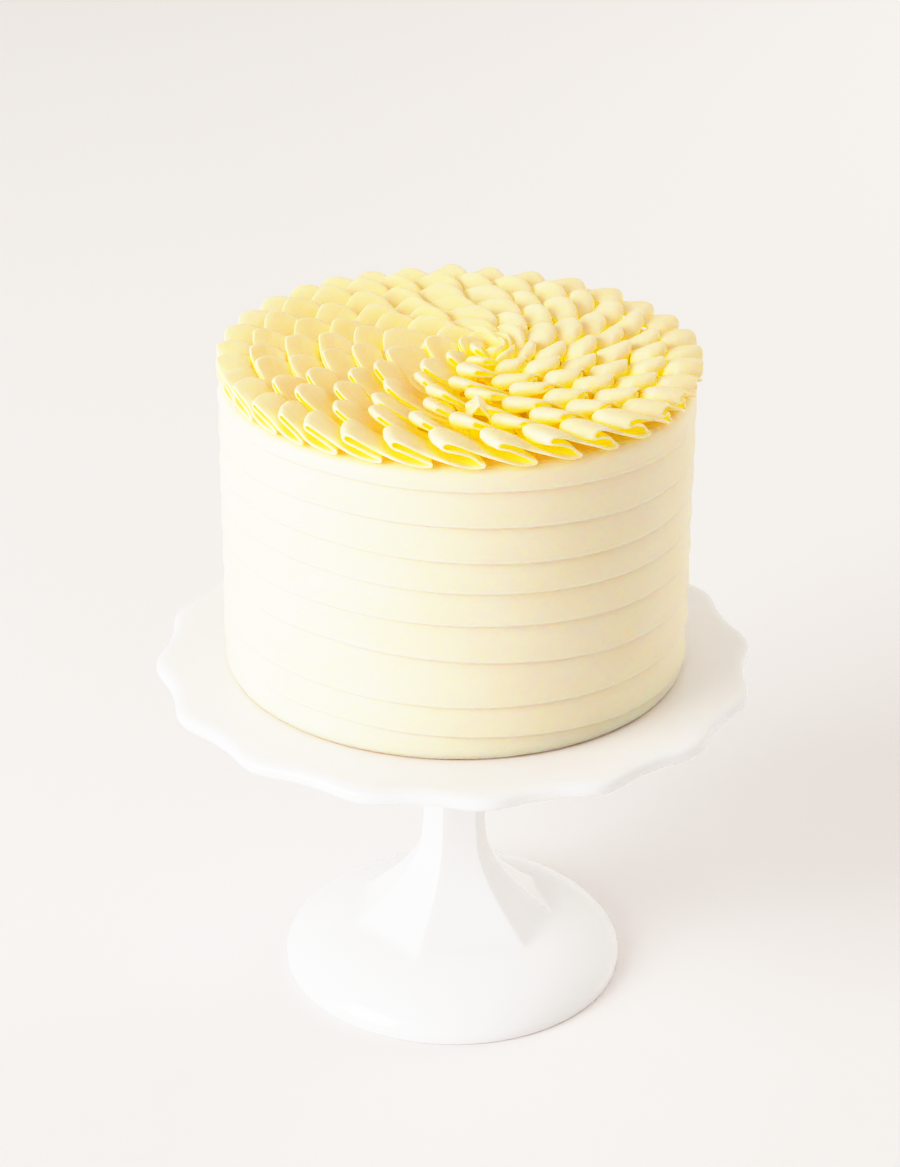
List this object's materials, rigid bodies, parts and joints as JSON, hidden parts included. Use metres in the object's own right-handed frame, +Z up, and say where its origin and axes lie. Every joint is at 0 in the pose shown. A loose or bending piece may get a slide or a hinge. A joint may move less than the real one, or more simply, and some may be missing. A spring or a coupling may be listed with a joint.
{
  "type": "lemon cake on stand",
  "caption": "Round iced lemon layer cake topped with rings of piped ruffles, on a footed white glass cake stand with a lobed plate.",
  "frame": {"origin": "centre of the foot, on the surface that the stand rests on", "axes": "+Z up; the side seen in the picture faces -Y, with +X to the picture's right"},
  "size_m": [0.2276, 0.2276, 0.2648],
  "materials": {
    "milk_glass": "opaque glossy white pressed glass",
    "vanilla_icing": "satin buttercream, spread with a spatula",
    "lemon_icing": "satin buttercream, piped"
  },
  "bodies": {
    "root": {"stand": "milk_glass", "cake": "vanilla_icing", "ruffle_ring_1": "lemon_icing", "ruffle_ring_2": "lemon_icing", "ruffle_ring_3": "lemon_icing", "ruffle_ring_4": "lemon_icing", "ruffle_ring_5": "lemon_icing", "ruffle_ring_6": "lemon_icing", "ruffle_ring_7": "lemon_icing", "ruffle_ring_8": "lemon_icing", "centre_curl": "lemon_icing"}
  },
  "joints": []
}
